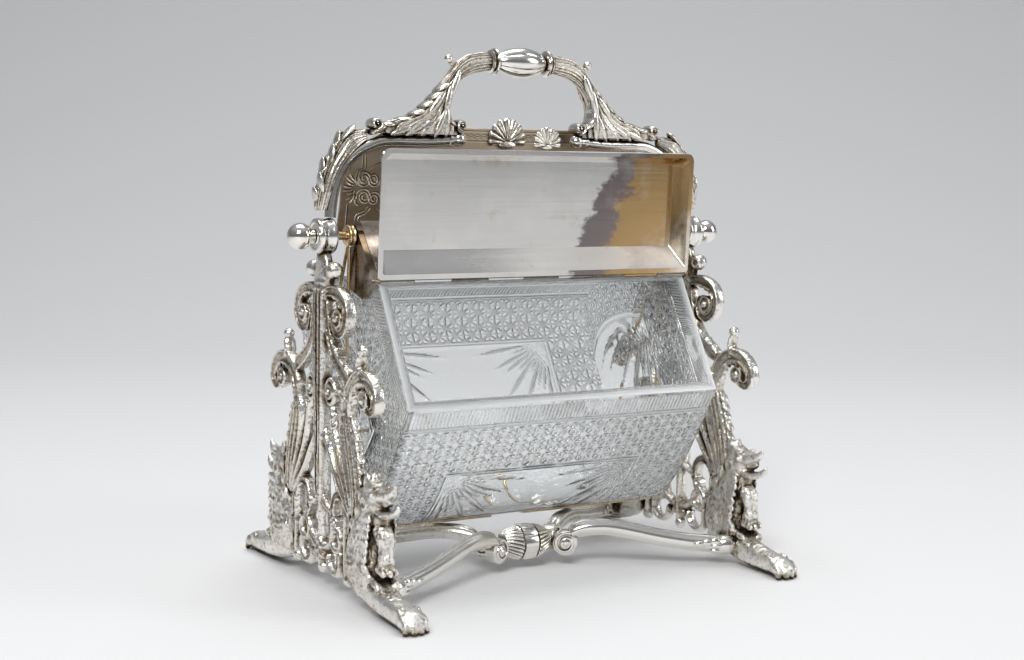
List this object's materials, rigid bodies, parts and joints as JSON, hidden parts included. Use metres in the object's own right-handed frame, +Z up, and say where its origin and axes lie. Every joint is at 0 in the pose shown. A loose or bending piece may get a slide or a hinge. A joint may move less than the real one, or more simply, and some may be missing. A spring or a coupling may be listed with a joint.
{
  "type": "tilting biscuit barrel",
  "caption": "Cut-glass biscuit box with a hinged metal lid, hung on pivots between pierced side frames with griffin feet, under an arched carrying handle.",
  "frame": {"origin": "middle of the footprint, on the surface that the feet stand on", "axes": "+X right along the tilt axis, -Y to the front where the mouth faces, +Z up"},
  "size_m": [0.2692, 0.2064, 0.2829],
  "materials": {
    "silver": "polished silver plate, tarnished in the recesses",
    "worn_silver": "dull, tarnished silver plate",
    "gilt": "bare worn brass",
    "cut_glass": "clear cut glass, frosted at the lip"
  },
  "bodies": {
    "stand": {"right_side_frame": "silver", "left_side_frame": "silver", "right_front_griffin": "worn_silver", "left_front_griffin": "worn_silver", "right_rear_griffin": "worn_silver", "left_rear_griffin": "worn_silver", "right_front_stretcher_arm": "silver", "left_front_stretcher_arm": "silver", "right_rear_stretcher_arm": "silver", "left_rear_stretcher_arm": "silver", "stretcher_boss": "silver", "right_arch_rod": "silver", "left_arch_rod": "silver", "right_arch_leaf": "worn_silver", "left_arch_leaf": "worn_silver", "back_plate": "worn_silver", "right_inner_plate_lug": "silver", "left_inner_plate_lug": "silver", "right_outer_plate_lug": "silver", "left_outer_plate_lug": "silver", "plate_shell": "worn_silver", "handle_grip": "silver", "right_grip_collar": "silver", "left_grip_collar": "silver", "grip_tie": "silver", "right_handle_arm": "silver", "left_handle_arm": "silver"},
    "barrel": {"glass_barrel": "cut_glass", "hinge_rail": "silver", "right_end_plate": "silver", "left_end_plate": "silver", "hinge_pin": "gilt", "right_pivot_pin": "gilt", "left_pivot_pin": "gilt", "right_pivot_collar": "gilt", "left_pivot_collar": "gilt", "right_ball_knob": "silver", "left_ball_knob": "silver", "right_cradle_wire": "gilt", "left_cradle_wire": "gilt"},
    "lid": {"lid": "silver", "lid_shell": "worn_silver"}
  },
  "joints": [
    {"name": "barrel_tilt", "type": "hinge", "parent": "stand", "child": "barrel", "pos_m": [0, 0, 0.183], "axis": [1, 0, 0], "range_deg": [-20, 40]},
    {"name": "lid_close", "type": "hinge", "parent": "barrel", "child": "lid", "pos_m": [0, -0.02406, 0.16099], "axis": [1, 0, 0], "range_deg": [0, 147]}
  ]
}
